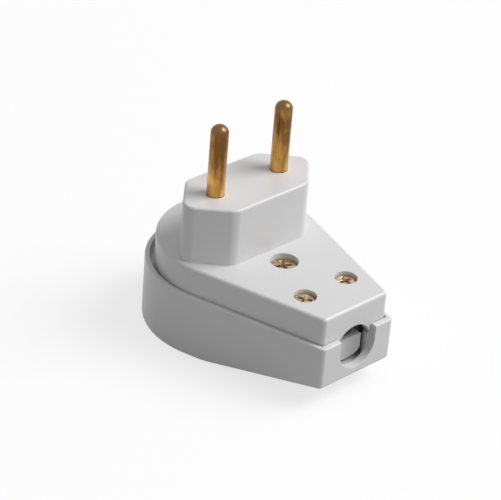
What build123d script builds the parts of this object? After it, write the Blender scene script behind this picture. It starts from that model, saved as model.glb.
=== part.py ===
from build123d import *
import os
from math import asin, atan2, cos, hypot, radians, sin, tan

# A two-pin mains plug whose cable leaves at a right angle to the pins.
# Sizes are in millimetres. The plug lies on its flat back at z = 0 with the pins along +Z.
# The origin is on the back, under the midpoint between the pins. The cable leaves toward -Y.

# Pins
pin_spacing = 19.0
pin_diameter = 4.0
pin_reach = 17.0
collar_diameter = 6.4
collar_height = 2.0
neck_diameter = 3.4
neck_show = 0.1
shank_diameter = 4.6
tail_diameter = 3.0
rivet_diameter = 4.8
rivet_height = 0.8

# Nose
nose_length = 38.4
nose_width = 17.0
nose_height = 13.9
nose_corner = 3.0
nose_edge = 0.6
nose_wall = 2.2
nose_roof = 2.4

# Base outline and height
base_round = 20.5
base_centre = 1.7
base_end_width = 21.4
cable_end = 37.6
base_corner = 1.4
base_edge = 0.8
rim_height = 15.4
rim_edge = 0.25
base_floor = 2.0

# Neck: the back is flat under the round part and rises toward the cable
flat_reach = 8.5
neck_rise = 5.1
neck_blend = 8.0

# Cover, inset from the base all round
cover_inset = 1.35
cover_end_inset = 1.5
cover_shift = 1.2
cover_height = 6.5
cover_corner = 0.9
cover_edge = 0.5
cover_wall = 1.9
cover_roof = 2.2
skirt_depth = 2.0
seat_width = 0.95

# Cable outlet
outlet_radius = 5.3
outlet_floor = 7.0
arch_rise = 1.8
guide_gap = 0.5
guide_thickness = 1.2
guide_length = 4.0

# Main screw on the axis
main_y = -13.45
main_well_radius = 3.2
main_well_depth = 3.8
main_head_radius = 2.85
main_head_height = 2.0
main_shank_radius = 1.5
main_boss_wall = 1.2
pillar_drop = 6.4
pillar_radius = 5.2

# Cord clamp screws, side by side
clamp_x = 6.2
clamp_y = -26.5
clamp_well_radius = 2.55
clamp_well_depth = 3.5
clamp_head_radius = 2.25
clamp_head_height = 1.9
clamp_shank_radius = 1.25
clamp_boss_wall = 1.0
clamp_boss_step = 2.4
clamp_boss_lower_radius = 3.0
clamp_boss_drop = 0.4

# Square nuts
main_nut_size = 5.5
main_nut_height = 1.8
clamp_nut_size = 5.0
clamp_nut_height = 1.6
screw_tail = 1.0

# Cord clamp
clamp_bottom = 7.2
clamp_half_width = 8.9
clamp_length = 7.0
tongue_gap = 1.0
tongue_drop = 0.5
tongue_edge = 0.4
cradle_radius = 4.2
cradle_depth = 2.9
rib_thickness = 1.6
rib_pitch = 4.0

# Pin carrier
carrier_margin = 5.0
carrier_width = 15.0
carrier_corner = 3.0
carrier_thickness = 2.5
sleeve_radius = 4.0
post_x = 2.9
post_radius = 2.2
carrier_shank_radius = 1.1
carrier_shank_length = 7.5
carrier_head_radius = 1.9
carrier_head_height = 1.4

# Terminals
strap_width = 6.4
strap_thickness = 1.2
binding_y = -10.5
binding_shank_radius = 1.5
binding_head_radius = 2.8
binding_head_height = 2.0
binding_reach = 1.8
washer_radius = 3.2
washer_thickness = 0.8

# Clearances
side_gap = 0.5
end_gap = 0.15
pin_gap = 0.05
shank_gap = 0.2
thread_gap = 0.05
nut_gap = 0.1
head_slot_width = 0.8
head_slot_depth = 0.9
head_edge = 0.3

# Levels and places that follow from the sizes above
cover_round = base_round - cover_inset
cover_centre = base_centre - cover_shift
cover_end_width = base_end_width - 2 * cover_inset
cover_end = cable_end - cover_end_inset
seat_z = rim_height - skirt_depth
cover_top = rim_height + cover_height
ceiling = cover_top - cover_roof
nose_top = cover_top + nose_height
nose_ceiling = nose_top - nose_roof
pin_x = pin_spacing / 2
pin_radius = pin_diameter / 2
pin_tip = nose_top + pin_reach
neck_top = nose_top + neck_show
collar_bottom = nose_ceiling - collar_height
carrier_bottom = ceiling - carrier_thickness
carrier_length = pin_spacing + 2 * carrier_margin
pillar_height = rim_height - pillar_drop
clamp_boss_end = rim_height - clamp_boss_drop
cradle_floor = clamp_boss_end - cradle_depth
strap_bottom = carrier_bottom - strap_thickness
inner_end = cover_end - seat_width
main_head_seat = cover_top - main_well_depth
clamp_head_seat = cover_top - clamp_well_depth
arch_top = rim_height + arch_rise
main_boss_radius = main_well_radius + main_boss_wall
clamp_boss_radius = clamp_well_radius + clamp_boss_wall
neck_slope = neck_rise / (cable_end - flat_reach)


def teardrop(radius, centre, end_width, end, corner):
    """Outline with a round back, two straight flanks tangent to it and a flat end."""
    half = end_width / 2
    away = hypot(half, centre + end)
    heading = atan2(centre + end, -half) - asin(radius / away)
    flank = (away**2 - radius**2) ** 0.5
    touch = (half + flank * cos(heading), -end + flank * sin(heading))
    mirror_touch = (-touch[0], touch[1])
    outline = Curve() + [
        Line((-half, -end), (half, -end)),
        Line((half, -end), touch),
        ThreePointArc(touch, (0, centre + radius), mirror_touch),
        Line(mirror_touch, (-half, -end)),
    ]
    face = make_face(outline)
    ends = face.vertices().sort_by(Axis.Y)[:2]
    return fillet(ends, corner) if corner else face


def cover_outline(grow=0.0, end_grow=None, corner=cover_corner):
    """The cover's outline, grown or shrunk evenly, or by another amount at the cable end."""
    end_grow = grow if end_grow is None else end_grow
    lean = asin((cover_round - cover_end_width / 2) / hypot(cover_centre + cover_end, cover_round))
    width = cover_end_width + 2 * (grow / cos(lean) - end_grow * tan(lean))
    return teardrop(cover_round + grow, cover_centre, width, cover_end + end_grow, corner)


def side_view(lift):
    """Block as wide as the plug with the back's side view: flat, then rising to the cable."""
    far = cable_end + 10
    back = base_centre + base_round + 10
    wide = base_round + 10
    profile = Polyline(
        (-far, neck_slope * (far - flat_reach) + lift),
        (-flat_reach, lift),
        (back, lift),
        (back, nose_top),
        (-far, nose_top),
        close=True,
    )
    face = make_face(profile)
    bend = face.vertices().sort_by_distance((-flat_reach, lift))[0]
    face = fillet(bend, neck_blend)
    return extrude(Plane.YZ * face, wide, both=True)


def hexagon(length, width, corner):
    """Elongated hexagon with 45 degree ends and rounded corners, centred on the pins."""
    tip, half = length / 2, width / 2
    points = [(tip, 0), (tip - half, half), (half - tip, half)]
    points += [(-x, -y) for x, y in points]
    face = make_face(Polyline(*points, close=True))
    return fillet(face.vertices(), corner)


def rod(x, y, low, high, radius):
    """Upright cylinder between two levels."""
    return Pos(x, y, low) * extrude(Circle(radius), high - low)


def block(x0, x1, y0, y1, low, high):
    """Upright box between two corners."""
    return Pos((x0 + x1) / 2, (y0 + y1) / 2, low) * extrude(Rectangle(x1 - x0, y1 - y0), high - low)


def outlet_cut(centre_z, far_z, y0, y1):
    """Cable passage along Y: a round bottom or top that runs straight on to another level."""
    hole = Plane.XZ * Pos(0, centre_z) * Circle(outlet_radius)
    slot = Plane.XZ * Pos(0, (centre_z + far_z) / 2) * Rectangle(2 * outlet_radius, abs(far_z - centre_z))
    return Pos(0, y1, 0) * extrude(hole + slot, y1 - y0)


def edges_above(shape, level):
    """Edges that lie wholly at one level."""
    return shape.edges().filter_by(lambda e: abs(e.bounding_box().min.Z - level) < 0.01
                                   and abs(e.bounding_box().max.Z - level) < 0.01)


def base_shell():
    """Lower half: hollow, with a lip round the cover's skirt and a notch for the cable."""
    outline = teardrop(base_round, base_centre, base_end_width, cable_end, base_corner)
    shell = extrude(outline, rim_height) & side_view(0)
    cross_lines = -cable_end + 1
    rounded = shell.edges().filter_by(
        lambda e: e.center().Z < neck_rise + base_corner / 4
        and not (abs(e.center().X) < 0.01 and cross_lines < e.center().Y < 0)
    )
    shell = fillet(rounded, base_edge)
    shell = fillet(edges_above(shell, rim_height), rim_edge)
    cavity = extrude(cover_outline(-seat_width), rim_height + 1) & side_view(base_floor)
    lip_room = Pos(0, 0, seat_z) * extrude(cover_outline(side_gap, end_gap, cover_corner / 3), rim_height)
    shell = shell - cavity - lip_room
    shell -= outlet_cut(outlet_floor + outlet_radius, rim_height + 1, -cable_end - 1, -inner_end + 0.5)
    pillar = rod(0, main_y, 0, pillar_height, pillar_radius) & side_view(base_floor / 2)
    shell += pillar
    nut_room = main_nut_size + 2 * nut_gap
    shell -= block(-nut_room / 2, nut_room / 2, main_y - nut_room / 2, main_y + nut_room / 2,
                   pillar_height - main_nut_height, pillar_height)
    shell -= rod(0, main_y, pillar_height - main_nut_height - screw_tail - shank_gap, pillar_height,
                 main_shank_radius + shank_gap)
    for side in (-1, 1):
        inner = side * (outlet_radius + guide_gap)
        outer = side * (outlet_radius + guide_gap + guide_thickness)
        guide = block(min(inner, outer), max(inner, outer), -inner_end - 0.5, -inner_end + guide_length,
                      0, seat_z - guide_gap)
        shell += guide & side_view(base_floor / 2)
    return shell


def top_cover():
    """Upper half: skirt and roof with the hollow nose, screw wells, bosses and cord ribs."""
    cover = Pos(0, 0, seat_z) * extrude(cover_outline(), cover_top - seat_z)
    cover = fillet(edges_above(cover, cover_top), cover_edge)
    nose = Pos(0, 0, ceiling) * extrude(hexagon(nose_length, nose_width, nose_corner), nose_top - ceiling)
    nose = fillet(edges_above(nose, nose_top), nose_edge)
    cover += nose
    room_corner = nose_corner - nose_wall / 2
    room = hexagon(nose_length - 2 * nose_wall * 2**0.5, nose_width - 2 * nose_wall, room_corner)
    cover -= Pos(0, 0, seat_z - 1) * extrude(cover_outline(-cover_wall, corner=0), ceiling - seat_z + 1)
    cover -= Pos(0, 0, seat_z) * extrude(room, nose_ceiling - seat_z)
    web = carrier_shank_radius
    for side in (-1, 1):
        x = side * post_x
        cover += rod(x, 0, ceiling, nose_ceiling, post_radius)
        cover += block(x - web / 2, x + web / 2, -nose_width / 2 + 1, nose_width / 2 - 1, ceiling, nose_ceiling)
    cover += rod(0, main_y, pillar_height, ceiling, main_boss_radius)
    for side in (-1, 1):
        x = side * clamp_x
        cover += rod(x, clamp_y, ceiling - clamp_boss_step, ceiling, clamp_boss_radius)
        cover += rod(x, clamp_y, clamp_boss_end, ceiling, clamp_boss_lower_radius)
    for y in (clamp_y, clamp_y - rib_pitch):
        cover += block(-clamp_x, clamp_x, y - rib_thickness / 2, y + rib_thickness / 2, arch_top, ceiling)
    cover -= outlet_cut(arch_top - outlet_radius, seat_z - 1, -cable_end - 1, -cover_end + cover_wall + 0.5)
    for side in (-1, 1):
        cover -= rod(side * pin_x, 0, nose_ceiling - 1, nose_top + 1, pin_radius + pin_gap)
        cover -= rod(side * post_x, 0, ceiling - 1, ceiling + carrier_shank_length,
                     carrier_shank_radius + thread_gap)
        x = side * clamp_x
        cover -= rod(x, clamp_y, clamp_head_seat, cover_top + 1, clamp_well_radius)
        cover -= rod(x, clamp_y, clamp_boss_end - 1, cover_top, clamp_shank_radius + shank_gap)
    cover -= rod(0, main_y, main_head_seat, cover_top + 1, main_well_radius)
    cover -= rod(0, main_y, pillar_height - 1, cover_top, main_shank_radius + shank_gap)
    return cover


def pin(x):
    """Turned pin with a domed tip, a neck and collar in the nose's roof and a riveted tail."""
    profile = Curve() + [
        Line((0, strap_bottom - rivet_height), (rivet_diameter / 2, strap_bottom - rivet_height)),
        Line((rivet_diameter / 2, strap_bottom - rivet_height), (rivet_diameter / 2, strap_bottom)),
        Line((rivet_diameter / 2, strap_bottom), (tail_diameter / 2, strap_bottom)),
        Line((tail_diameter / 2, strap_bottom), (tail_diameter / 2, carrier_bottom)),
        Line((tail_diameter / 2, carrier_bottom), (shank_diameter / 2, carrier_bottom)),
        Line((shank_diameter / 2, carrier_bottom), (shank_diameter / 2, collar_bottom)),
        Line((shank_diameter / 2, collar_bottom), (collar_diameter / 2, collar_bottom)),
        Line((collar_diameter / 2, collar_bottom), (collar_diameter / 2, nose_ceiling)),
        Line((collar_diameter / 2, nose_ceiling), (neck_diameter / 2, nose_ceiling)),
        Line((neck_diameter / 2, nose_ceiling), (neck_diameter / 2, neck_top)),
        Line((neck_diameter / 2, neck_top), (pin_radius, neck_top)),
        Line((pin_radius, neck_top), (pin_radius, pin_tip - pin_radius)),
        CenterArc((0, pin_tip - pin_radius), pin_radius, 0, 90),
        Line((0, pin_tip), (0, strap_bottom - rivet_height)),
    ]
    return Pos(x, 0, 0) * revolve(Plane.XZ * make_face(profile), Axis.Z)


def pin_carrier():
    """Moulded plate under the nose with a sleeve that holds each pin up by its collar."""
    plate = fillet(Rectangle(carrier_length, carrier_width).vertices(), carrier_corner)
    carrier = Pos(0, 0, carrier_bottom) * extrude(plate, carrier_thickness)
    for side in (-1, 1):
        carrier += rod(side * pin_x, 0, carrier_bottom, collar_bottom, sleeve_radius)
    for side in (-1, 1):
        carrier -= rod(side * pin_x, 0, carrier_bottom - 1, nose_ceiling, shank_diameter / 2 + pin_gap)
        carrier -= rod(side * post_x, 0, carrier_bottom - 1, ceiling + 1, carrier_shank_radius + shank_gap)
    return carrier


def terminal(x):
    """Flat brass strap under the carrier, from the pin's tail to the binding screw."""
    front = binding_y - strap_width / 2
    strap = Pos(x, (front + strap_width / 2) / 2, strap_bottom) * extrude(
        RectangleRounded(strap_width, strap_width / 2 - front, strap_width / 4), strap_thickness)
    strap -= rod(x, 0, strap_bottom - 1, carrier_bottom + 1, tail_diameter / 2 + pin_gap)
    strap -= rod(x, binding_y, strap_bottom - 1, carrier_bottom + 1, binding_shank_radius + thread_gap)
    return strap


def washer(x):
    """Plain washer between the strap and the binding screw's head."""
    ring = Circle(washer_radius) - Circle(binding_shank_radius + shank_gap)
    return Pos(x, binding_y, strap_bottom - washer_thickness) * extrude(ring, washer_thickness)


def screw(x, y, seat, length, shank_radius, head_radius, head_height, up=True):
    """Cross-slot cheese-head screw; its head stands on the seat level, up or down."""
    head = fillet(edges_above(extrude(Circle(head_radius), head_height), head_height), head_edge)
    for size in ((2 * head_radius * 0.8, head_slot_width), (head_slot_width, 2 * head_radius * 0.8)):
        head -= Pos(0, 0, head_height - head_slot_depth) * extrude(Rectangle(*size), head_slot_depth)
    shank = Pos(0, 0, -length) * chamfer(
        edges_above(extrude(Circle(shank_radius), length), 0), shank_radius / 4)
    body = head + shank
    return Pos(x, y, seat) * (body if up else Rot(180, 0, 0) * body)


def square_nut(x, y, bottom, size, height, shank_radius):
    """Square nut round a screw's shank."""
    face = Rectangle(size, size) - Circle(shank_radius + thread_gap)
    return Pos(x, y, bottom) * extrude(face, height)


def cord_clamp():
    """Moulded saddle with a cradle for the cord, drawn up to the cover by two screws."""
    back = clamp_y + clamp_length / 2
    front = clamp_y - clamp_length / 2
    tongue_front = -inner_end + end_gap + tongue_edge
    saddle = block(-clamp_half_width, clamp_half_width, front, back, clamp_bottom, clamp_boss_end)
    saddle = fillet(saddle.edges().filter_by(Axis.Z), tongue_edge)
    tongue_half = outlet_radius - tongue_gap
    tongue = block(-tongue_half, tongue_half, tongue_front, front + 1, clamp_bottom,
                   clamp_boss_end - tongue_drop)
    tongue = fillet(tongue.edges().filter_by(Axis.Z).sort_by(Axis.Y)[:2], tongue_edge)
    saddle += tongue
    groove = Plane.XZ * Pos(0, cradle_floor + cradle_radius) * Circle(cradle_radius)
    saddle -= Pos(0, back + 1, 0) * extrude(groove, back + 2 - tongue_front)
    nut_room = clamp_nut_size + 2 * nut_gap
    for side in (-1, 1):
        x = side * clamp_x
        saddle -= rod(x, clamp_y, clamp_bottom - 1, clamp_boss_end + 1, clamp_shank_radius + shank_gap)
        inner = side * (clamp_x - nut_room / 2)
        outer = side * (clamp_half_width + 1)
        saddle -= block(min(inner, outer), max(inner, outer), clamp_y - nut_room / 2, clamp_y + nut_room / 2,
                        clamp_bottom - 1, clamp_bottom + clamp_nut_height)
    return saddle


parts = {
    "base_shell": base_shell(),
    "top_cover": top_cover(),
    "pin_carrier": pin_carrier(),
    "cord_clamp": cord_clamp(),
    "main_screw": screw(0, main_y, main_head_seat,
                        main_head_seat - pillar_height + main_nut_height + screw_tail,
                        main_shank_radius, main_head_radius, main_head_height),
    "main_nut": square_nut(0, main_y, pillar_height - main_nut_height, main_nut_size, main_nut_height,
                           main_shank_radius),
}
for name, side in (("left", -1), ("right", 1)):
    parts[f"pin_{name}"] = pin(side * pin_x)
    parts[f"terminal_{name}"] = terminal(side * pin_x)
    parts[f"washer_{name}"] = washer(side * pin_x)
    parts[f"terminal_screw_{name}"] = screw(
        side * pin_x, binding_y, strap_bottom - washer_thickness,
        washer_thickness + strap_thickness + binding_reach,
        binding_shank_radius, binding_head_radius, binding_head_height, up=False)
    parts[f"carrier_screw_{name}"] = screw(
        side * post_x, 0, carrier_bottom, carrier_thickness + carrier_shank_length - 1,
        carrier_shank_radius, carrier_head_radius, carrier_head_height, up=False)
    parts[f"clamp_screw_{name}"] = screw(
        side * clamp_x, clamp_y, clamp_head_seat, clamp_head_seat - clamp_bottom + screw_tail,
        clamp_shank_radius, clamp_head_radius, clamp_head_height)
    parts[f"clamp_nut_{name}"] = square_nut(
        side * clamp_x, clamp_y, clamp_bottom, clamp_nut_size, clamp_nut_height, clamp_shank_radius)

os.makedirs("parts", exist_ok=True)
for name, solid in parts.items():
    export_step(solid, f"parts/{name}.step")
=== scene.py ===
import math
from functools import cache

import bmesh
import bpy
from bpy.props import FloatProperty, FloatVectorProperty, IntProperty, PointerProperty
from bpy.types import Operator, Panel, PropertyGroup
from mathutils import Matrix, Vector


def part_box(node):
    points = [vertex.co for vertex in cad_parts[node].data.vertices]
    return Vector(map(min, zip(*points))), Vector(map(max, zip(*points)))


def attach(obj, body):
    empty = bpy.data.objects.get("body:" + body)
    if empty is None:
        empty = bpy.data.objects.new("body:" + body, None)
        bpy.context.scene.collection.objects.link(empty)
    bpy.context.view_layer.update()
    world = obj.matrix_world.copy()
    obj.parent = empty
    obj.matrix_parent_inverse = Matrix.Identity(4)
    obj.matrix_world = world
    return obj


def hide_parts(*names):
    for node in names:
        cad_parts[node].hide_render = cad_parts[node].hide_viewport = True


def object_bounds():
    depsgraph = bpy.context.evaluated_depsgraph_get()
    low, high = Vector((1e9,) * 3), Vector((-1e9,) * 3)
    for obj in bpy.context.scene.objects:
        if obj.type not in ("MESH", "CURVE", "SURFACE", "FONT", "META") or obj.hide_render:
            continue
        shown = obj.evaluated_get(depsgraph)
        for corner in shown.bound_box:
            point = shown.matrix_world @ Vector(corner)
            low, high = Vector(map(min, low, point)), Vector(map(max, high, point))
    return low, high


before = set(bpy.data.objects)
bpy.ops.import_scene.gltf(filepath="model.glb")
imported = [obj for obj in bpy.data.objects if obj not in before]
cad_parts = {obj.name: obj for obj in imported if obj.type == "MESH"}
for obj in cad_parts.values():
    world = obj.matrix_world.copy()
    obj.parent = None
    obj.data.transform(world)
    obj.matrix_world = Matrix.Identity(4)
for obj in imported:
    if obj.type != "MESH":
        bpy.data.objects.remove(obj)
CAD_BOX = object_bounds()

bl_info = {
    "name": "Right-Angle Two-Pin Plug",
    "version": (1, 0, 0),
    "blender": (4, 5, 0),
    "location": "View3D > Sidebar > Plug",
    "description": "Models a rewirable two-pin plug over its construction frame",
    "category": "Add Mesh",
}

# Boxes of the construction frame, from which the pieces take their places and outer sizes
BASE_LOW, BASE_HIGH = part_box("base_shell")
COVER_LOW, COVER_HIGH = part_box("top_cover")
PIN_LOW, PIN_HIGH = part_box("pin_right")
CLAMP_LOW, CLAMP_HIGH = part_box("cord_clamp")


def middle(name):
    """Middle of a node's box in plan."""
    low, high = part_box(name)
    return (low.x + high.x) / 2, (low.y + high.y) / 2


PIN_X, PIN_Y = middle("pin_right")
SIDE_X, SIDE_Y = middle("clamp_screw_right")

MM = 0.001
SIDES = (-1, 1)
SAME = 1e-6  # Points closer than this, in metres, lie at one place
NEAR = 0.05 * MM  # Play when edges are picked by their place
FLUSH = 0.02 * MM  # Play when edges are picked in an end face
FREE = 0.1 * MM  # Small offset that keeps faces of joined pieces apart
BITE = 0.5 * MM  # How far a joined piece reaches into its neighbour
PAST = 1.0 * MM  # How far a cutting tool runs past a surface
CREASE = 40  # Degrees between the faces at an edge that a cut leaves
SMOOTH = 30  # Degrees up to which faces are shaded as one surface
TIP_TURN = math.radians(45)  # Angle between the nose's long faces and its ends
SLOT_TURNS = {"main_screw": 24.0, "clamp_screw_left": 61.0, "clamp_screw_right": 8.0}  # In degrees


def length(name, description, default):
    """A length in metres, shown with its unit."""
    return FloatProperty(name=name, description=description, default=default, min=0.0,
                         unit="LENGTH", subtype="DISTANCE", precision=5)


def share(name, description, default):
    """A part of a whole, from 0 to 1."""
    return FloatProperty(name=name, description=description, default=default, min=0.0, max=1.0)


def number(name, description, default):
    """A plain number."""
    return FloatProperty(name=name, description=description, default=default)


def colour(name, description, default):
    """A surface colour."""
    return FloatVectorProperty(name=name, description=description, default=default, size=3,
                               min=0.0, max=1.0, subtype="COLOR")


class BaseSizes(PropertyGroup):
    """Lower half of the housing."""
    flat_reach: length("Flat Reach", "Reach of the flat back from the pins to the neck", 8.5 * MM)
    neck_rise: length("Neck Rise", "Height of the back above the table at the cable end", 5.1 * MM)
    neck_blend: length("Neck Blend", "Half width of the rounding between back and neck", 1.6 * MM)
    end_width: length("End Width", "Width of the flat end at the cable", 21.0 * MM)
    corner: length("Corner", "Setback of the rounded upright corners at the cable end", 0.76 * MM)
    bottom_edge: length("Bottom Edge", "Rounding of the edge round the back", 0.8 * MM)
    rim_edge: length("Rim Edge", "Rounding of the rim's outer edge", 0.35 * MM)
    lip_edge: length("Lip Edge", "Rounding of the rim's inner edge", 0.12 * MM)
    lip_width: length("Lip Width", "Width of the lip round the cover's skirt", 1.05 * MM)
    floor: length("Floor", "Thickness of the back", 2.0 * MM)
    seat: length("Seat", "Width of the ledge that carries the cover's skirt", 0.95 * MM)
    pillar: length("Pillar", "Radius of the pillar that holds the main nut", 5.2 * MM)
    pillar_hole: length("Pillar Hole", "Radius of the hole for the main screw", 1.7 * MM)
    nut_gap: length("Nut Gap", "Clearance round the main nut", 0.1 * MM)


class CoverSizes(PropertyGroup):
    """Upper half of the housing."""
    round: length("Round", "Radius of the cover's round back", 19.05 * MM)
    top: length("Top", "Height of the cover's flat top above the table", 21.9 * MM)
    skirt: length("Skirt", "How far the cover reaches down inside the rim", 2.0 * MM)
    end_width: length("End Width", "Width of the cover's end at the cable", 19.1 * MM)
    corner: length("Corner", "Setback of the rounded upright corners at the cable end", 0.84 * MM)
    top_edge: length("Top Edge", "Rounding of the edge round the cover's top", 0.8 * MM)
    wall: length("Wall", "Thickness of the skirt", 1.9 * MM)
    roof: length("Roof", "Thickness of the cover's top", 2.2 * MM)
    end_gap: length("End Gap", "Clearance between skirt and rim at the cable end", 0.15 * MM)


class NoseSizes(PropertyGroup):
    """Raised hexagonal block that carries the pins."""
    length: length("Length", "Length between the two pointed ends before rounding", 38.4 * MM)
    width: length("Width", "Width across the long faces", 17.0 * MM)
    corner: length("Corner", "Radius of the upright corners", 3.0 * MM)
    top_edge: length("Top Edge", "Rounding of the edge round the nose's top", 0.6 * MM)
    wall: length("Wall", "Thickness of the nose's walls", 2.2 * MM)
    roof: length("Roof", "Thickness of the nose's top", 2.4 * MM)
    pin_gap: length("Pin Gap", "Clearance between nose and pin", 0.05 * MM)
    post_place: length("Post Place", "Distance of the carrier's posts from the axis", 2.9 * MM)
    post_radius: length("Post Radius", "Radius of the posts for the carrier's screws", 2.2 * MM)


class WellSizes(PropertyGroup):
    """Screw wells and the screws in them."""
    main_radius: length("Main Well", "Radius of the well on the axis", 3.2 * MM)
    side_radius: length("Side Wells", "Radius of the paired wells", 2.55 * MM)
    rim_edge: length("Well Edge", "Rounding of each well's rim", 0.14 * MM)
    boss_wall: length("Boss Wall", "Plastic round the main well", 1.1 * MM)
    side_wall: length("Side Boss Wall", "Plastic round the paired wells", 1.0 * MM)
    clamp_boss: length("Clamp Boss", "Radius of the bosses that press on the saddle", 3.0 * MM)
    shank_hole: length("Shank Hole", "Radius of the hole under each well", 1.6 * MM)
    slot_width: length("Slot Width", "Width of the cross slot at its top", 0.95 * MM)
    slot_depth: length("Slot Depth", "Depth of the cross slot", 1.1 * MM)
    slot_start: length("Slot Start", "Height above the head where the slot's taper starts", 0.2 * MM)
    slot_reach: share("Slot Reach", "Half length of the slot as a part of the head's radius", 0.78)
    slot_floor_length: share("Slot Floor Length", "Length of its floor as a part of its top", 0.62)
    slot_floor_width: share("Slot Floor Width", "Width of its floor as a part of its top", 0.6)
    slot_edge: length("Slot Edge", "Rounding of the slot's rim", 0.06 * MM)
    shank: share("Shank", "Radius of the shank as a part of the head's radius", 0.53)
    head_edge: length("Head Edge", "Rounding of the head's edge", 0.35 * MM)
    main_seat: length("Main Seat", "Depth of the main floor below the plain head", 2.0 * MM)
    side_seat: length("Side Seats", "Depth of the paired floors below the plain heads", 1.9 * MM)
    main_lift: length("Main Lift", "How far the main head rises above the plain one", 0.6 * MM)
    side_lift: length("Side Lift", "How far the paired heads rise above the plain ones", 0.8 * MM)
    head_gap: length("Head Gap", "Clearance between head and well", 0.22 * MM)


class OutletSizes(PropertyGroup):
    """Opening for the cord and the saddle behind it."""
    radius: length("Radius", "Radius of the round opening", 5.3 * MM)
    floor: length("Floor", "Lowest point of the opening above the table", 7.0 * MM)
    arch_rise: length("Arch Rise", "Top of the arch above the rim", 1.4 * MM)
    mouth_edge: length("Mouth Edge", "Rounding of the opening's outer edge", 0.2 * MM)
    wall: length("Wall", "Thickness of the end wall round the opening", 1.9 * MM)
    guide_half: length("Guide Half", "Half of the gap between the guide ribs", 4.75 * MM)
    guide_wall: length("Guide Wall", "Width of each guide rib", 1.75 * MM)
    guide_length: length("Guide Length", "Length of the guide ribs", 1.3 * MM)
    guide_drop: length("Guide Drop", "How far the guide ribs end below the cover's ledge", 0.5 * MM)
    rib_half: length("Rib Half", "Half thickness of the cover's ribs over the cord", 0.8 * MM)
    rib_pitch: length("Rib Pitch", "Distance between the cover's ribs over the cord", 4.0 * MM)
    tongue_radius: length("Tongue Radius", "Radius of the tongue's round underside", 3.1 * MM)
    tongue_floor: length("Tongue Floor", "Lowest point of the tongue above the table", 7.2 * MM)
    tongue_gap: length("Tongue Gap", "Clearance between end wall and tongue", 0.3 * MM)
    tongue_bow: length("Tongue Bow", "Radius of the tongue's hollow front in plan", 4.8 * MM)
    tongue_wall: length("Tongue Wall", "Thickness of the tongue's front", 1.2 * MM)
    tongue_side: share("Tongue Side", "Side walls of the tongue, as a part of its front", 0.6)
    tongue_edge: length("Tongue Edge", "Rounding of the tongue's front edges", 0.25 * MM)
    cradle_radius: length("Cradle Radius", "Radius of the saddle's cradle", 6.0 * MM)
    cradle_floor: length("Cradle Floor", "Lowest point of the cradle above the table", 12.5 * MM)
    pocket_floor: length("Pocket Floor", "Floor of the hollow behind the tongue's front", 9.0 * MM)
    saddle_edge: length("Saddle Edge", "Rounding of the saddle's upright edges", 0.4 * MM)
    saddle_hole: length("Saddle Hole", "Radius of the saddle's screw holes", 1.45 * MM)
    nut_half: length("Nut Half", "Half width of the saddle's nut pockets", 2.6 * MM)


class PinSizes(PropertyGroup):
    """Turned brass pins."""
    radius: length("Radius", "Radius of the plain part", 2.0 * MM)
    neck_radius: length("Neck Radius", "Radius of the neck in the nose's roof", 1.7 * MM)
    neck_gap: length("Neck Gap", "Height of the neck's top above the nose", 0.1 * MM)
    collar_length: length("Collar Length", "Length of the collar under the nose's roof", 2.0 * MM)
    shank_radius: length("Shank Radius", "Radius of the thick part below the collar", 2.3 * MM)
    tail_radius: length("Tail Radius", "Radius of the riveted tail", 1.5 * MM)
    rivet_radius: length("Rivet Radius", "Radius of the rivet under the strap", 2.4 * MM)
    tip_flat: length("Tip Flat", "Radius of the small flat on the tip", 0.16 * MM)
    segments: IntProperty(name="Segments", description="Flats round a turned piece",
                          default=72, min=12)


class FinishColours(PropertyGroup):
    """Colours and roughness."""
    housing: colour("Housing", "Light grey moulded plastic", (0.672, 0.668, 0.670))
    housing_roughness: share("Housing Roughness", "Mean roughness of the housing", 0.34)
    saddle: colour("Saddle", "Grey plastic of the inner mouldings", (0.500, 0.497, 0.498))
    saddle_roughness: share("Saddle Roughness", "Mean roughness of the inner mouldings", 0.55)
    brass_light: colour("Light Brass", "Clean brass of the pins", (0.780, 0.430, 0.105))
    # The dark brass stands for tarnished patches and for painted dark reflection up the pins' shafts.
    brass_dark: colour("Dark Brass", "Tarnished brass of the pins", (0.165, 0.066, 0.012))
    # The dome brass is darkened to paint the domes' dark reflection.
    brass_dome: colour("Dome Brass", "Worn brass of the pins' domes", (0.175, 0.092, 0.038))
    screw_light: colour("Light Screw", "Clean brass of the screws", (0.720, 0.560, 0.400))
    screw_dark: colour("Dark Screw", "Tarnished brass of the screws", (0.200, 0.105, 0.040))
    floor: colour("Floor", "Pale table and backdrop", (0.97, 0.97, 0.97))
    bounce: colour("Bounce", "Floor as it lights the plug", (0.40, 0.40, 0.40))


class StageSizes(PropertyGroup):
    """Camera, lamp, world and floor, with angles in degrees."""
    azimuth: number("Azimuth", "Camera's turn round the plug", -45.33)
    elevation: number("Elevation", "Camera's height angle", 31.33)
    roll: number("Roll", "Camera's turn about its own axis", -4.8)
    distance: length("Distance", "Camera's distance from the aim point", 0.4985)
    aim: FloatVectorProperty(name="Aim", description="Point in the middle of the picture", size=3,
                             subtype="TRANSLATION", unit="LENGTH", precision=5,
                             default=(-0.00447, -0.00719, 0.02318))
    lens: number("Lens", "Focal length in millimetres", 162.9)
    floor_size: length("Floor Size", "Side of the square floor", 12.0)
    white_share: share("White Share", "Part of the floor that shows as plain white", 0.72)
    key_azimuth: number("Key Azimuth", "Key lamp's turn round the plug", 50.0)
    key_elevation: number("Key Elevation", "Key lamp's height angle", 48.5)
    key_distance: length("Key Distance", "Distance of the key lamp", 2.2)
    key_size: length("Key Size", "Side of the square key lamp", 1.4)
    key: number("Key", "Power of the key lamp in watts", 45.0)
    world: number("World", "Strength of the light from all round", 0.36)


# Editing helpers

def deselect():
    """Leaves nothing selected."""
    bpy.ops.object.select_all(action="DESELECT")


def only(obj):
    """Selects one object alone and makes it active."""
    deselect()
    obj.select_set(True)
    bpy.context.view_layer.objects.active = obj


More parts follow.
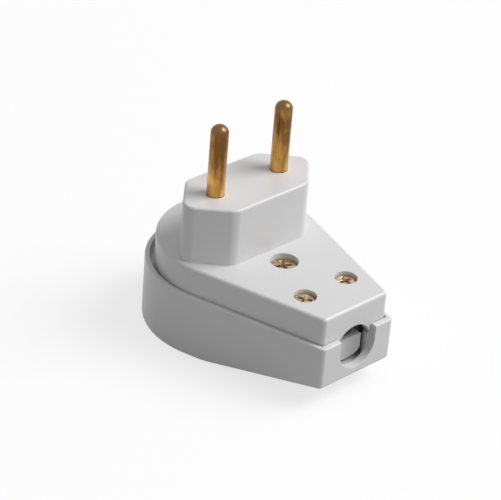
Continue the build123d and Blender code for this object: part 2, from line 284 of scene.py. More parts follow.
def edit(obj, mode):
    """Opens an object's mesh with nothing selected and gives its live mesh."""
    only(obj)
    bpy.ops.object.mode_set(mode="EDIT")
    bpy.ops.mesh.select_mode(type=mode)
    bpy.ops.mesh.select_all(action="DESELECT")
    return bmesh.from_edit_mesh(obj.data)


def edit_all(obj, mode):
    """Opens an object's mesh with everything selected."""
    edit(obj, mode)
    bpy.ops.mesh.select_all(action="SELECT")


def pick(obj, mode, test):
    """Selects the vertices, edges or faces that pass a test; raises if none does."""
    mesh = edit(obj, mode)
    parts = {"VERT": mesh.verts, "EDGE": mesh.edges, "FACE": mesh.faces}[mode]
    chosen = [part for part in parts if test(part)]
    for part in chosen:
        part.select_set(True)
    mesh.select_flush_mode()
    bmesh.update_edit_mesh(obj.data)
    if not chosen:
        raise RuntimeError(f"nothing to edit on {obj.name}")
    return mesh


def done():
    """Leaves edit mode."""
    bpy.ops.object.mode_set(mode="OBJECT")


def ends(edge):
    """Both ends of an edge."""
    return [vert.co for vert in edge.verts]


def level_edge(edge, z):
    """True for an edge that lies at one height."""
    return all(abs(point.z - z) < 2 * SAME for point in ends(edge))


def upright_edge(edge):
    """True for an edge that runs straight up."""
    low, high = ends(edge)
    return (low - high).xy.length < SAME and abs(low.z - high.z) > 10 * SAME


def sharp(edge, degrees=25):
    """True for an edge whose two faces meet at more than an angle."""
    return len(edge.link_faces) == 2 and edge.calc_face_angle(0.0) > math.radians(degrees)


def round_edges(obj, test, width, segments):
    """Rounds the edges that pass a test."""
    pick(obj, "EDGE", test)
    bpy.ops.mesh.bevel(offset=width, segments=segments, profile=0.5, affect="EDGES",
                       clamp_overlap=True)
    done()


def close_up(obj):
    """Merges doubles and turns all faces outwards."""
    edit_all(obj, "VERT")
    bpy.ops.mesh.remove_doubles(threshold=SAME)
    bpy.ops.mesh.normals_make_consistent(inside=False)
    done()


def combine(obj, tool, operation):
    """Cuts a tool from a piece or joins it in, and removes the tool."""
    only(obj)
    modifier = obj.modifiers.new("Combine", "BOOLEAN")
    modifier.operation = operation
    modifier.solver = "EXACT"
    modifier.object = tool
    bpy.ops.object.modifier_apply(modifier=modifier.name)
    mesh = tool.data
    bpy.data.objects.remove(tool)
    bpy.data.meshes.remove(mesh)


def cut(obj, tool):
    """Cuts a tool from a piece."""
    combine(obj, tool, "DIFFERENCE")


def weld(obj, tool):
    """Joins a tool into a piece."""
    combine(obj, tool, "UNION")


def settle(obj, name):
    """Names an object and its mesh, and moves its transform into the mesh."""
    only(obj)
    bpy.ops.object.transform_apply(location=True, rotation=True, scale=True)
    obj.name = name
    obj.data.name = name
    return obj


def rod(centre, radius, low, high, segments=64):
    """Upright cylinder between two heights."""
    deselect()
    bpy.ops.mesh.primitive_cylinder_add(vertices=segments, radius=radius, depth=high - low,
                                        location=(centre[0], centre[1], (low + high) / 2))
    return settle(bpy.context.object, "rod")


def block(low, high):
    """Box between two corners."""
    deselect()
    low, high = Vector(low), Vector(high)
    bpy.ops.mesh.primitive_cube_add(size=1.0, location=(low + high) / 2, scale=high - low)
    return settle(bpy.context.object, "block")


def raise_sheet(obj, height):
    """Pulls a flat sheet up into a closed solid."""
    edit_all(obj, "FACE")
    bpy.ops.mesh.extrude_region_move(TRANSFORM_OT_translate={"value": (0, 0, height)})
    done()
    close_up(obj)


def flank_heading(radius, centre, half_end, end):
    """Direction of the right flank, from its end corner to where it touches the round back."""
    reach = centre + end
    return math.atan2(reach, -half_end) - math.asin(radius / math.hypot(half_end, reach))


def teardrop(radius, centre, half_end, end, low, high, segments=180):
    """Solid with a round back, straight flanks tangent to it and a flat end toward the cable."""
    heading = flank_heading(radius, centre, half_end, end)
    flank = math.sqrt(half_end**2 + (centre + end)**2 - radius**2)
    touch = -end + flank * math.sin(heading)
    deselect()
    bpy.ops.mesh.primitive_circle_add(vertices=segments, radius=radius, fill_type="NOTHING",
                                      location=(0, centre, low))
    solid = settle(bpy.context.object, "teardrop")
    pick(solid, "VERT", lambda vert: vert.co.y < touch - SAME / 10)
    bpy.ops.mesh.delete(type="VERT")
    done()
    for side in SIDES:
        mesh = pick(solid, "VERT", lambda vert: len(vert.link_edges) == 1 and vert.co.x * side > 0
                    and vert.co.y > -end + SAME)
        tip = next(vert.co.copy() for vert in mesh.verts if vert.select)
        step = Vector((side * half_end, -end, 0)) - tip
        bpy.ops.mesh.extrude_vertices_move(TRANSFORM_OT_translate={"value": (step.x, step.y, 0)})
        done()
    pick(solid, "VERT", lambda vert: vert.co.y < -end + SAME)
    bpy.ops.mesh.edge_face_add()
    bpy.ops.mesh.select_all(action="SELECT")
    bpy.ops.mesh.edge_face_add()
    done()
    raise_sheet(solid, high - low)
    return solid


def slope_off(obj, sizes, lift):
    """Cuts a solid's underside along the neck, which rises toward the cable."""
    slope = math.atan2(sizes.neck_rise, -BASE_LOW.y - sizes.flat_reach)
    edit_all(obj, "FACE")
    bpy.ops.mesh.bisect(plane_co=(0, -sizes.flat_reach, lift),
                        plane_no=(0, math.sin(slope), math.cos(slope)),
                        use_fill=True, clear_inner=True, threshold=SAME)
    done()
    close_up(obj)


def passage(radius, centre, end, near, far):
    """Bar along Y, round on one side and running straight on to another height on the other."""
    deselect()
    bpy.ops.mesh.primitive_circle_add(vertices=96, radius=radius, fill_type="NOTHING",
                                      location=(0, near, centre), rotation=(math.pi / 2, 0, 0))
    tool = settle(bpy.context.object, "passage")
    away = 1 if end > centre else -1
    pick(tool, "VERT", lambda vert: (vert.co.z - centre) * away > SAME)
    bpy.ops.mesh.delete(type="VERT")
    done()
    pick(tool, "VERT", lambda vert: abs(vert.co.z - centre) < SAME)
    bpy.ops.mesh.extrude_vertices_move(TRANSFORM_OT_translate={"value": (0, 0, end - centre)})
    bpy.ops.mesh.edge_face_add()
    bpy.ops.mesh.select_all(action="SELECT")
    bpy.ops.mesh.edge_face_add()
    bpy.ops.mesh.extrude_region_move(TRANSFORM_OT_translate={"value": (0, far - near, 0)})
    done()
    close_up(tool)
    return tool


def hexagon(size_x, size_y, corner, low, high):
    """Elongated hexagonal block with pointed ends and rounded upright corners."""
    solid = block((-size_x / 2, -size_y / 2, low), (size_x / 2, size_y / 2, high))
    round_edges(solid, upright_edge, size_y / 2, segments=1)
    close_up(solid)
    blunt = size_x / 2 - size_y / 2
    round_edges(solid, lambda edge: upright_edge(edge) and abs(abs(ends(edge)[0].x) - blunt) < FREE,
                corner * math.tan(TIP_TURN / 2), segments=10)
    round_edges(solid, lambda edge: upright_edge(edge) and abs(ends(edge)[0].x) > size_x / 2 - FREE,
                corner, segments=14)
    return solid


# Finishes

class Tree:
    """Nodes of a material or a world while they are put together."""

    def __init__(self, owner):
        owner.use_nodes = True
        self.nodes, self.links = owner.node_tree.nodes, owner.node_tree.links

    def feed(self, node, inputs):
        """Links each named input to the output given for it, or sets it to the value given."""
        for name, value in inputs.items():
            if isinstance(value, bpy.types.NodeSocket):
                self.links.new(value, node.inputs[name])
            else:
                node.inputs[name].default_value = value
        return node

    def add(self, kind, inputs, **settings):
        """Adds a node with its settings and feeds its inputs."""
        node = self.nodes.new(f"ShaderNode{kind}")
        for name, value in settings.items():
            setattr(node, name, value)
        return self.feed(node, inputs)

    def place(self):
        """Coordinates of the object, in metres."""
        return self.add("TexCoord", {}).outputs["Object"]

    def sum(self, operation, first, second, clamp=False):
        """Result of one operation on two values."""
        node = self.add("Math", {0: first, 1: second}, operation=operation, use_clamp=clamp)
        return node.outputs["Value"]

    def noise(self, place, scale, detail=3.0, roughness=0.5, stretch=(1, 1, 1)):
        """Noise at a scale in features a metre, stretched along the axes."""
        mapping = self.add("Mapping", {"Vector": place, "Scale": stretch})
        texture = self.add("TexNoise", {"Vector": mapping.outputs["Vector"], "Scale": scale,
                                        "Detail": detail, "Roughness": roughness})
        return texture.outputs["Fac"]

    def spread(self, value, low, high, span=(0.35, 0.65)):
        """Spreads a value over the range between two numbers, as it runs through its span."""
        ranged = self.add("MapRange", {"Value": value, "From Min": span[0], "From Max": span[1],
                                       "To Min": low, "To Max": high})
        return ranged.outputs["Result"]

    def mix(self, factor, *colours):
        """Mixes two colours, each given as red, green and blue or as an output."""
        first, second = (c if isinstance(c, bpy.types.NodeSocket) else (*c, 1) for c in colours)
        blend = self.add("Mix", {"Factor": factor, "A": first, "B": second}, data_type="RGBA")
        return blend.outputs["Result"]

    def blend(self, factor, first, second):
        """Mixes two shaders."""
        node = self.add("MixShader", {"Fac": factor, 1: first, 2: second})
        return node.outputs["Shader"]

    def bump(self, height, distance, strength):
        """Normals of a fine relief."""
        relief = self.add("Bump", {"Height": height, "Distance": distance, "Strength": strength})
        return relief.outputs["Normal"]

    def seen_directly(self):
        """1 for what the camera sees, straight or in a reflection, and 0 for light on surfaces."""
        rays = self.add("LightPath", {})
        seen = rays.outputs["Is Camera Ray"]
        for kind in ("Glossy", "Transmission"):
            seen = self.sum("MAXIMUM", seen, rays.outputs[f"Is {kind} Ray"])
        return seen


def moulded_plastic(name, tint, roughness):
    """Satin moulded plastic with a faint unevenness of tone, gloss and surface."""
    material = bpy.data.materials.new(name)
    tree = Tree(material)
    place = tree.place()
    cloud = tree.noise(place, scale=90, detail=4.0, roughness=0.55)
    grain = tree.noise(place, scale=2600, detail=2.0, roughness=0.6)
    pale, dim = [c * 1.012 for c in tint], [c * 0.982 for c in tint]
    tree.feed(tree.nodes["Principled BSDF"], {
        "Base Color": tree.mix(cloud, dim, pale),
        "Roughness": tree.spread(grain, roughness - 0.05, roughness + 0.05),
        "Normal": tree.bump(grain, distance=0.02 * MM, strength=0.18),
        "IOR": 1.5,
        "Specular IOR Level": 0.5,
    })
    return material


def brass(tree, place, tint, roughness, marks):
    """Feeds a shader a brass tint, flecked roughness and turning marks across the piece."""
    fleck = tree.noise(place, scale=1900, roughness=0.6)
    rings = tree.noise(place, scale=700, detail=2.0, stretch=(0.25, 0.25, 6.0))
    return tree.feed(tree.nodes["Principled BSDF"], {
        "Base Color": tint,
        "Roughness": tree.spread(fleck, *roughness),
        "Normal": tree.bump(rings, distance=0.02 * MM, strength=marks),
        "Metallic": 1.0,
    })


def spotted_brass(name, most, stretch):
    """Brass of the screws and straps, with spots of tarnish up to a most."""
    colours = bpy.context.scene.plug_colours
    material = bpy.data.materials.new(name)
    tree = Tree(material)
    place = tree.place()
    patch = tree.noise(place, scale=420, detail=5.0, roughness=0.62, stretch=stretch)
    darkening = tree.spread(patch, 0.0, most, span=(0.34, 0.66))
    brass(tree, place, tree.mix(darkening, colours.screw_light, colours.screw_dark),
          roughness=(0.22, 0.42), marks=0.22)
    return material


@cache
def housing_plastic():
    """Light grey of both halves of the housing."""
    colours = bpy.context.scene.plug_colours
    return moulded_plastic("grey_housing_plastic", colours.housing, colours.housing_roughness)


@cache
def inner_plastic():
    """Grey of the saddle and the carrier."""
    colours = bpy.context.scene.plug_colours
    return moulded_plastic("grey_inner_plastic", colours.saddle, colours.saddle_roughness)


@cache
def pin_brass():
    """Brass that turns from gold at the foot to brown below a paler dome, with random tarnished
    patches; the browning with height and the dome's dark tone are painted dark reflection.
    """
    colours = bpy.context.scene.plug_colours
    material = bpy.data.materials.new("turned_pin_brass")
    tree = Tree(material)
    place = tree.place()
    height = tree.add("SeparateXYZ", {"Vector": place}).outputs["Z"]
    foot, tip = COVER_HIGH.z, PIN_HIGH.z
    reach = tip - foot
    reflection_dimming = (foot + 0.10 * reach, foot + 0.75 * reach)  # Heights between which painted dark reflection grows
    dome = (tip - 2.2 * MM, tip - 0.9 * MM)  # Heights between which the shaft turns to the dome
    # Painted dark reflection: the brass darkens with height up the shaft.
    painted_dark_reflection = tree.spread(height, 0.0, 0.85, span=reflection_dimming)
    patch = tree.noise(place, scale=420, detail=4.0, roughness=0.62, stretch=(1, 1, 0.2))
    # Random tarnished patches are added on top of the painted dark reflection.
    darkening = tree.sum("ADD", painted_dark_reflection, tree.spread(patch, -0.3, 0.6), clamp=True)
    shaft = tree.mix(darkening, colours.brass_light, colours.brass_dark)
    # The dome's darker, paler tint is painted dark reflection.
    dome_blend = tree.spread(height, 0.0, 1.0, span=dome)
    shader = brass(tree, place, tree.mix(dome_blend, shaft, colours.brass_dome),
                   roughness=(0.28, 0.44), marks=0.16)
    tree.feed(shader, {"Coat Weight": 0.25, "Coat Roughness": 0.18})
    return material


@cache
def screw_brass():
    """Brass of the screws, nuts and washers."""
    return spotted_brass("screw_brass", 0.75, (1, 1, 1))


@cache
def strap_brass():
    """Brass of the terminal straps."""
    return spotted_brass("strap_brass", 0.4, (1, 0.3, 1))


def dress(piece, material):
    """Gives a piece its one material."""
    piece.data.materials.clear()
    piece.data.materials.append(material)


def finish_piece(piece, name, material, nodes):
    """Smooths a piece, gives it its finish and ties it to the frame."""
    close_up(piece)
    settle(piece, name)
    bpy.ops.object.shade_smooth_by_angle(angle=math.radians(SMOOTH))
    weights = piece.modifiers.new("Even Normals", "WEIGHTED_NORMAL")
    weights.mode = "FACE_AREA"
    weights.keep_sharp = True
    bpy.ops.object.modifier_apply(modifier=weights.name)
    dress(piece, material)
    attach(piece, "root")
    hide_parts(*nodes)


# Shapes that two pieces share

def grown(radius, centre, half, end, grow, end_grow, low, high):
    """Teardrop grown or shrunk evenly, but by its own amount at the cable end."""
    lean = math.pi / 2 - flank_heading(radius, centre, half, end)
    half += grow / math.cos(lean) - end_grow * math.tan(lean)
    return teardrop(radius + grow, centre, half, end + end_grow, low, high)


def cover_solid(grow, low, high):
    """Solid with the cover's outline, grown or shrunk evenly."""
    sizes = bpy.context.scene.plug_cover
    return grown(sizes.round, COVER_HIGH.y - sizes.round, sizes.end_width / 2, -COVER_LOW.y,
                 grow, grow, low, high)


def round_end_corners(solid, end, width, segments):
    """Rounds the upright corners at the cable end."""
    round_edges(solid, lambda edge: upright_edge(edge) and ends(edge)[0].y < end + FREE,
                width, segments)


def round_mouth(shell, end, low, high):
    """Rounds the outlet's edge in an end face, between two heights."""
    outlet = bpy.context.scene.plug_outlet
    round_edges(shell, lambda edge: sharp(edge, CREASE) and all(
        point.y < end + FLUSH and abs(point.x) < outlet.radius + NEAR and low < point.z < high
        for point in ends(edge)), outlet.mouth_edge, segments=3)


class PLUG_OT_base(Operator):
    """Model the lower half of the housing with its rim, cavity and cord notch"""
    bl_idname = "plug.base"
    bl_label = "Base Shell"

    def execute(self, context):
        scene = context.scene
        sizes, cover, outlet = scene.plug_base, scene.plug_cover, scene.plug_outlet
        rim, end, radius = BASE_HIGH.z, -BASE_LOW.y, BASE_HIGH.x
        outline = (radius, BASE_HIGH.y - radius, sizes.end_width / 2, end)
        shell = teardrop(*outline, 0.0, rim)
        self.round_outside(shell, sizes, rim)
        room = cover_solid(-sizes.seat, 0.0, rim + PAST)
        slope_off(room, sizes, sizes.floor)
        cut(room, block((-radius * 2, -end * 2, -PAST), (radius * 2, end * 2, sizes.floor)))
        cut(shell, room)
        seat = rim - cover.skirt
        end_lip = end + COVER_LOW.y - cover.end_gap
        cut(shell, grown(*outline, -sizes.lip_width, -end_lip, seat, rim + PAST))
        inside = sizes.rim_edge + NEAR
        round_edges(shell, lambda edge: level_edge(edge, rim) and sharp(edge, 60) and
                    all(point.y > -end + inside for point in ends(edge)), sizes.lip_edge, segments=3)
        self.open_end(shell, sizes, outlet, seat - outlet.guide_drop)
        self.add_pillar(shell, sizes)
        finish_piece(shell, "housing_base", housing_plastic(), ["base_shell"])
        return {"FINISHED"}

    def round_outside(self, shell, sizes, rim):
        """Rounds the end's corners, slopes the neck and rounds the edges round the back and rim."""
        round_end_corners(shell, BASE_LOW.y, sizes.corner, segments=8)
        slope_off(shell, sizes, 0.0)
        round_edges(shell, lambda edge: level_edge(edge, 0.0) and sharp(edge, 5) and
                    all(abs(point.y + sizes.flat_reach) < NEAR for point in ends(edge)),
                    sizes.neck_blend, segments=10)
        underside = sizes.neck_rise + BITE
        round_edges(shell, lambda edge: sharp(edge, 30) and max(p.z for p in ends(edge)) < underside,
                    sizes.bottom_edge, segments=5)
        round_edges(shell, lambda edge: level_edge(edge, rim) and sharp(edge), sizes.rim_edge,
                    segments=3)

    def open_end(self, shell, sizes, outlet, top):
        """Thins the end wall, cuts the notch for the cord and adds the guide ribs beside it."""
        inner, room_end = BASE_LOW.y + outlet.wall, COVER_LOW.y + sizes.seat
        half = outlet.guide_half + outlet.guide_wall
        recess = block((-half, inner, 0), (half, room_end + FREE, top))
        slope_off(recess, sizes, sizes.floor)
        cut(shell, recess)
        cut(shell, passage(outlet.radius, outlet.floor + outlet.radius, BASE_HIGH.z + PAST,
                           BASE_LOW.y - PAST, room_end + PAST))
        round_mouth(shell, BASE_LOW.y, 0.0, BASE_HIGH.z - sizes.rim_edge)
        for side in SIDES:
            near, far = sorted((side * outlet.guide_half, side * half))
            guide = block((near, inner, 0), (far, inner + outlet.guide_length, top))
            slope_off(guide, sizes, sizes.floor / 2)
            weld(shell, guide)

    def add_pillar(self, shell, sizes):
        """Pillar that holds the main nut under the cover's boss."""
        centre, gap = middle("main_screw"), sizes.nut_gap
        low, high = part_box("main_nut")
        pillar = rod(centre, sizes.pillar, 0.0, high.z)
        slope_off(pillar, sizes, sizes.floor / 2)
        cut(pillar, block((low.x - gap, low.y - gap, low.z),
                          (high.x + gap, high.y + gap, high.z + PAST)))
        hole_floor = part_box("main_screw")[0].z - 2 * gap
        cut(pillar, rod(centre, sizes.pillar_hole, hole_floor, high.z, segments=32))
        weld(shell, pillar)


class PLUG_OT_cover(Operator):
    """Model the upper half of the housing with the nose, wells and arch"""
    bl_idname = "plug.cover"
    bl_label = "Top Cover"

    def execute(self, context):
        scene = context.scene
        sizes, nose, outlet = scene.plug_cover, scene.plug_nose, scene.plug_outlet
        rim, top = BASE_HIGH.z, COVER_HIGH.z
        seat, ceiling, nose_ceiling = rim - sizes.skirt, sizes.top - sizes.roof, top - nose.roof
        cover = cover_solid(0.0, seat, sizes.top)
        round_end_corners(cover, COVER_LOW.y, sizes.corner, segments=6)
        round_edges(cover, lambda edge: level_edge(edge, sizes.top) and sharp(edge), sizes.top_edge,
                    segments=4)
        hood = hexagon(nose.length, nose.width, nose.corner, ceiling, top)
        round_edges(hood, lambda edge: level_edge(edge, top) and sharp(edge), nose.top_edge,
                    segments=5)
        weld(cover, hood)
        room = hexagon(nose.length - 2 * nose.wall * math.sqrt(2), nose.width - 2 * nose.wall,
                       nose.corner - nose.wall / 2, seat - PAST, nose_ceiling)
        cut(cover, cover_solid(-sizes.wall, seat - 2 * PAST, ceiling))
        cut(cover, room)
        self.add_inside(cover, scene, ceiling, nose_ceiling)
        cut(cover, passage(outlet.radius, rim + outlet.arch_rise - outlet.radius, seat - 5 * PAST,
                           COVER_LOW.y - PAST, COVER_LOW.y + sizes.wall + BITE))
        self.cut_wells(cover, scene.plug_wells, sizes.top)
        for side in SIDES:
            cut(cover, rod((side * PIN_X, PIN_Y), scene.plug_pins.radius + nose.pin_gap,
                           nose_ceiling - PAST, top + PAST))
        round_mouth(cover, COVER_LOW.y, rim, top)
        finish_piece(cover, "housing_cover", housing_plastic(), ["top_cover"])
        return {"FINISHED"}

    def add_inside(self, cover, scene, ceiling, nose_ceiling):
        """Bosses for the three screws, ribs over the cord and posts in the nose."""
        wells, nose, outlet = scene.plug_wells, scene.plug_nose, scene.plug_outlet
        buried, arch_top = ceiling + BITE, BASE_HIGH.z + outlet.arch_rise
        main_radius = wells.main_radius + wells.boss_wall
        weld(cover, rod(middle("main_screw"), main_radius, COVER_LOW.z, buried))
        for y in (SIDE_Y, SIDE_Y - outlet.rib_pitch):
            weld(cover, block((-SIDE_X, y - outlet.rib_half, arch_top),
                              (SIDE_X, y + outlet.rib_half, buried)))
        for side in SIDES:
            place = (side * SIDE_X, SIDE_Y)
            weld(cover, rod(place, wells.side_radius + wells.side_wall, arch_top + FREE, buried))
            weld(cover, rod(place, wells.clamp_boss, CLAMP_HIGH.z, buried))
            weld(cover, rod((side * nose.post_place, 0), nose.post_radius, ceiling,
                            nose_ceiling + BITE, segments=40))

    def cut_wells(self, cover, wells, top):
        """Counterbored well and shank hole for each screw."""
        for name, radius, seat in (("main_screw", wells.main_radius, wells.main_seat),
                                   ("clamp_screw_left", wells.side_radius, wells.side_seat),
                                   ("clamp_screw_right", wells.side_radius, wells.side_seat)):
            low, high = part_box(name)
            centre = middle(name)
            cut(cover, rod(centre, radius, high.z - seat, top + PAST, segments=80))
            cut(cover, rod(centre, wells.shank_hole, low.z, top, segments=40))
            round_edges(cover, lambda edge: level_edge(edge, top) and sharp(edge, CREASE) and all(
                (point.xy - Vector(centre)).length < radius + NEAR for point in ends(edge)),
                wells.rim_edge, segments=2)


class PLUG_OT_pins(Operator):
    """Turn the two brass pins with their domed tips, collars and riveted tails"""
    bl_idname = "plug.pins"
    bl_label = "Pins"

    def execute(self, context):
        scene = context.scene
        sizes, top = scene.plug_pins, COVER_HIGH.z
        collar_top = top - scene.plug_nose.roof
        levels = (top + sizes.neck_gap, collar_top, collar_top - sizes.collar_length,
                  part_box("pin_carrier")[0].z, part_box("terminal_right")[0].z, PIN_LOW.z)
        radii = (sizes.neck_radius, (PIN_HIGH.x - PIN_LOW.x) / 2, sizes.shank_radius,
                 sizes.tail_radius, sizes.rivet_radius)
        for name, side in (("left", -1), ("right", 1)):
            centre = (side * PIN_X, PIN_Y)
            pin = rod(centre, sizes.radius, levels[0], PIN_HIGH.z, sizes.segments)
            round_edges(pin, lambda edge: level_edge(edge, PIN_HIGH.z), sizes.radius - sizes.tip_flat,
                        segments=14)
            last = sizes.radius
            for radius, level, below in zip(radii, levels, levels[1:]):
                self.add_step(pin, (*centre, level), radius / last, below - level)
                last = radius
            finish_piece(pin, f"brass_pin_{name}", pin_brass(), [f"pin_{name}"])
        return {"FINISHED"}

    def add_step(self, pin, centre, scale, drop):
        """Draws the pin's lowest face out downwards at another radius."""
        pick(pin, "FACE", lambda face:
             all(abs(vert.co.z - centre[2]) < SAME / 10 for vert in face.verts)
             and (face.calc_center_median() - Vector(centre)).length < FREE / 10)
        bpy.ops.mesh.extrude_region_move(TRANSFORM_OT_translate={"value": (0, 0, 0)})
        bpy.ops.transform.resize(value=(scale, scale, 1), center_override=centre)
        bpy.ops.mesh.extrude_region_move(TRANSFORM_OT_translate={"value": (0, 0, drop)})
        done()


class PLUG_OT_screws(Operator):
    """Model the three cross-slot screws that show in the cover's wells"""
    bl_idname = "plug.screws"
    bl_label = "Well Screws"

    def execute(self, context):
        wells = context.scene.plug_wells
        main = (wells.main_radius, wells.main_seat, wells.main_lift)
        side = (wells.side_radius, wells.side_seat, wells.side_lift)
        for name, turn in SLOT_TURNS.items():
            self.add_screw(wells, name, main if name == "main_screw" else side, math.radians(turn))
        return {"FINISHED"}

    def add_screw(self, wells, name, sizes, turn):
        """Head with a rounded edge and a tapered cross slot, and a plain shank."""
        well, seat, lift = sizes
        low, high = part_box(name)
        x, y = middle(name)
        radius, top = well - wells.head_gap, high.z + lift
        screw = rod((x, y), radius, high.z - seat, top)
        round_edges(screw, lambda edge: level_edge(edge, top), wells.head_edge, segments=4)
        weld(screw, rod((x, y), radius * wells.shank, low.z, high.z - seat / 2, segments=32))
        reach, half = radius * wells.slot_reach, wells.slot_width / 2
        taper = (wells.slot_floor_length, wells.slot_floor_width, 1)
        head = (x, y, top)
        for quarter in (0, math.pi / 2):
            slot = block((x - reach, y - half, top - wells.slot_depth),
                         (x + reach, y + half, top + wells.slot_start))
            pick(slot, "FACE", lambda face: face.normal.z < -0.9)
            bpy.ops.transform.resize(value=taper, center_override=head)
            bpy.ops.mesh.select_all(action="SELECT")
            bpy.ops.transform.rotate(value=turn + quarter, orient_axis="Z", center_override=head)
            done()
            cut(screw, slot)
        round_edges(screw, lambda edge: sharp(edge, CREASE) and level_edge(edge, top),
                    wells.slot_edge, segments=2)
        finish_piece(screw, f"brass_{name}", screw_brass(), [name])


class PLUG_OT_saddle(Operator):
    """Model the saddle that grips the cord behind the outlet"""
    bl_idname = "plug.saddle"
    bl_label = "Cord Saddle"

    def execute(self, context):
        outlet = context.scene.plug_outlet
        half, back = CLAMP_HIGH.x, CLAMP_HIGH.y
        front, tip = 2 * SIDE_Y - back, BASE_LOW.y + outlet.wall + outlet.tongue_gap
        low, high = CLAMP_LOW.z - PAST, CLAMP_HIGH.z + PAST
        saddle = block((-half, front, CLAMP_LOW.z), (half, back, CLAMP_HIGH.z))
        round_edges(saddle, upright_edge, outlet.saddle_edge, segments=4)
        weld(saddle, passage(outlet.tongue_radius, outlet.tongue_floor + outlet.tongue_radius,
                             CLAMP_HIGH.z - PAST, tip, front + PAST))
        cut(saddle, self.cradle(outlet, tip - PAST, back + PAST))
        depth = outlet.tongue_bow - math.sqrt(outlet.tongue_bow**2 - outlet.tongue_radius**2)
        cut(saddle, rod((0, tip + depth - outlet.tongue_bow), outlet.tongue_bow, low, high,
                        segments=128))
        wide = outlet.tongue_radius - outlet.tongue_wall * outlet.tongue_side
        cut(saddle, block((-wide, tip + depth + outlet.tongue_wall, outlet.pocket_floor),
                          (wide, SIDE_Y - PAST, CLAMP_HIGH.z)))
        nut_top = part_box("clamp_nut_right")[1].z
        for side in SIDES:
            cut(saddle, rod((side * SIDE_X, SIDE_Y), outlet.saddle_hole, low, high, segments=40))
            near, far = sorted((side * (SIDE_X - outlet.nut_half), side * (half + PAST)))
            cut(saddle, block((near, SIDE_Y - outlet.nut_half, low),
                              (far, SIDE_Y + outlet.nut_half, nut_top)))
        round_edges(saddle, lambda edge: sharp(edge, CREASE) and all(
            point.y < tip + NEAR for point in ends(edge)), outlet.tongue_edge, segments=3)
        finish_piece(saddle, "cord_saddle", inner_plastic(), ["cord_clamp"])
        return {"FINISHED"}

    def cradle(self, outlet, start, stop):
        """Cylinder that lies along the cord, for the saddle's hollow."""
        groove = rod((0, 0), outlet.cradle_radius, start, stop, segments=96)
        edit_all(groove, "VERT")
        bpy.ops.transform.rotate(value=math.pi / 2, orient_axis="X", center_override=(0, 0, 0))
        done()
        shift = start - min(vert.co.y for vert in groove.data.vertices)
        edit_all(groove, "VERT")
        bpy.ops.transform.translate(value=(0, shift, outlet.cradle_floor + outlet.cradle_radius))
        done()
        return groove


class PLUG_OT_inner(Operator):
    """Finish the pieces inside the housing: carrier, terminals, nuts, washers and screws"""
    bl_idname = "plug.inner"
    bl_label = "Inner Pieces"

    def execute(self, context):
        for name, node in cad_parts.items():
            if name == "pin_carrier":
                dress(node, inner_plastic())
            elif any(word in name for word in ("screw", "nut", "washer")):
                dress(node, screw_brass())
            elif name.startswith("terminal_"):
                dress(node, strap_brass())
        return {"FINISHED"}


def outward(azimuth, elevation):
    """Direction away from the plug, by its angle from the cable and its height angle, in radians."""
    level = math.cos(elevation)
    return Vector((math.sin(azimuth) * level, -math.cos(azimuth) * level, math.sin(elevation)))


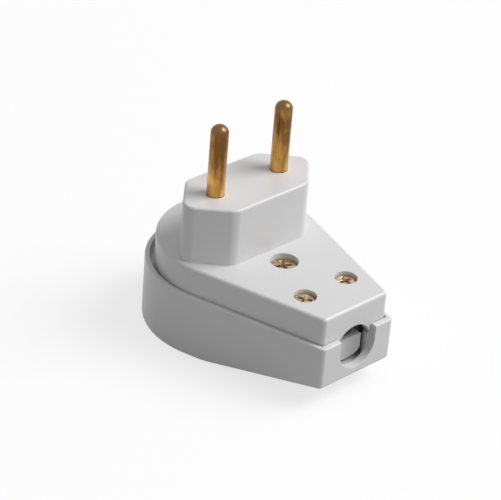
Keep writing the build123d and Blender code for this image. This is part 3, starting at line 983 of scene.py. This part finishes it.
class PLUG_OT_stage(Operator):
    """Set up the floor, the world, the lamp and the camera"""
    bl_idname = "plug.stage"
    bl_label = "Stage"

    def execute(self, context):
        scene = context.scene
        stage = scene.plug_stage
        self.add_floor(stage, scene.plug_colours)
        self.add_world(scene, stage)
        self.add_lamp(stage)
        self.add_camera(scene, stage)
        scene.view_settings.view_transform = "Standard"
        return {"FINISHED"}

    def add_floor(self, stage, colours):
        """White floor that keeps the plug's shadow, and that lights the plug less than it shows."""
        deselect()
        bpy.ops.mesh.primitive_plane_add(size=stage.floor_size, location=(0, 0, 0))
        floor = bpy.context.object
        floor.name = "floor"
        material = bpy.data.materials.new("pale_floor")
        tree = Tree(material)
        seen = tree.seen_directly()
        paper = tree.noise(tree.place(), scale=900)
        shown = tree.mix(paper, [c * 0.985 for c in colours.floor], colours.floor)
        lit = tree.feed(tree.nodes["Principled BSDF"], {
            "Base Color": tree.mix(seen, colours.bounce, shown),
            "Roughness": 0.9,
            "Specular IOR Level": 0.1,
        })
        white = tree.add("Emission", {})
        surface = tree.blend(tree.sum("MULTIPLY", seen, stage.white_share), lit.outputs["BSDF"],
                             white.outputs["Emission"])
        tree.feed(tree.nodes["Material Output"], {"Surface": surface})
        dress(floor, material)

    def add_world(self, scene, stage):
        """Soft light from all round; a white background for the camera and for reflections."""
        world = bpy.data.worlds.new("pale_room")
        tree = Tree(world)
        white = (1, 1, 1, 1)
        lit = tree.feed(tree.nodes["Background"], {"Color": white, "Strength": stage.world})
        shown = tree.add("Background", {"Color": white, "Strength": 1.0})
        surface = tree.blend(tree.seen_directly(), lit.outputs["Background"],
                             shown.outputs["Background"])
        tree.feed(tree.nodes["World Output"], {"Surface": surface})
        scene.world = world

    def add_lamp(self, stage):
        """Square area lamp that looks at the plug from an angle and height."""
        away = outward(math.radians(stage.key_azimuth), math.radians(stage.key_elevation))
        plug = (CAD_BOX[0] + CAD_BOX[1]) / 2
        deselect()
        bpy.ops.object.light_add(type="AREA", location=plug + away * stage.key_distance)
        lamp = bpy.context.object
        lamp.name = "key"
        lamp.data.size = stage.key_size
        lamp.data.energy = stage.key
        lamp.rotation_euler = away.to_track_quat("Z", "Y").to_euler()

    def add_camera(self, scene, stage):
        """Camera on a sphere round its aim point, turned about its own axis by the roll."""
        azimuth, elevation, roll = (math.radians(angle)
                                    for angle in (stage.azimuth, stage.elevation, stage.roll))
        back = outward(azimuth, elevation)
        right = Vector((math.cos(azimuth), math.sin(azimuth), 0))
        up = back.cross(right)
        turned_right = math.cos(roll) * right - math.sin(roll) * up
        turned_up = math.sin(roll) * right + math.cos(roll) * up
        deselect()
        bpy.ops.object.camera_add(location=Vector(stage.aim) + back * stage.distance)
        camera = bpy.context.object
        camera.rotation_euler = Matrix((turned_right, turned_up, back)).transposed().to_euler()
        camera.data.lens = stage.lens
        scene.camera = camera


class PLUG_PT_panel(Panel):
    """Lists the sizes and the steps that build the plug"""
    bl_label = "Right-Angle Plug"
    bl_idname = "PLUG_PT_panel"
    bl_space_type = "VIEW_3D"
    bl_region_type = "UI"
    bl_category = "Plug"

    def draw(self, context):
        for name, group in GROUPS.items():
            box = self.layout.box()
            box.label(text=group.__doc__)
            for prop in group.__annotations__:
                box.prop(getattr(context.scene, name), prop)
        for step in STEPS:
            self.layout.operator(step.bl_idname)


GROUPS = {
    "plug_base": BaseSizes,
    "plug_cover": CoverSizes,
    "plug_nose": NoseSizes,
    "plug_wells": WellSizes,
    "plug_outlet": OutletSizes,
    "plug_pins": PinSizes,
    "plug_colours": FinishColours,
    "plug_stage": StageSizes,
}
STEPS = (PLUG_OT_base, PLUG_OT_cover, PLUG_OT_pins, PLUG_OT_screws, PLUG_OT_saddle, PLUG_OT_inner,
         PLUG_OT_stage)


def register():
    """Registers the sizes, the steps and the panel."""
    for name, group in GROUPS.items():
        bpy.utils.register_class(group)
        setattr(bpy.types.Scene, name, PointerProperty(type=group))
    for step in STEPS:
        bpy.utils.register_class(step)
    bpy.utils.register_class(PLUG_PT_panel)


def unregister():
    """Takes back what register added, in the other order."""
    bpy.utils.unregister_class(PLUG_PT_panel)
    for step in reversed(STEPS):
        bpy.utils.unregister_class(step)
    for name in reversed(GROUPS):
        delattr(bpy.types.Scene, name)
        bpy.utils.unregister_class(GROUPS[name])


def main():
    """Builds the plug step by step."""
    register()
    for step in STEPS:
        group, name = step.bl_idname.split(".")
        getattr(getattr(bpy.ops, group), name)()
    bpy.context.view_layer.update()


if __name__ == "__main__":
    main()
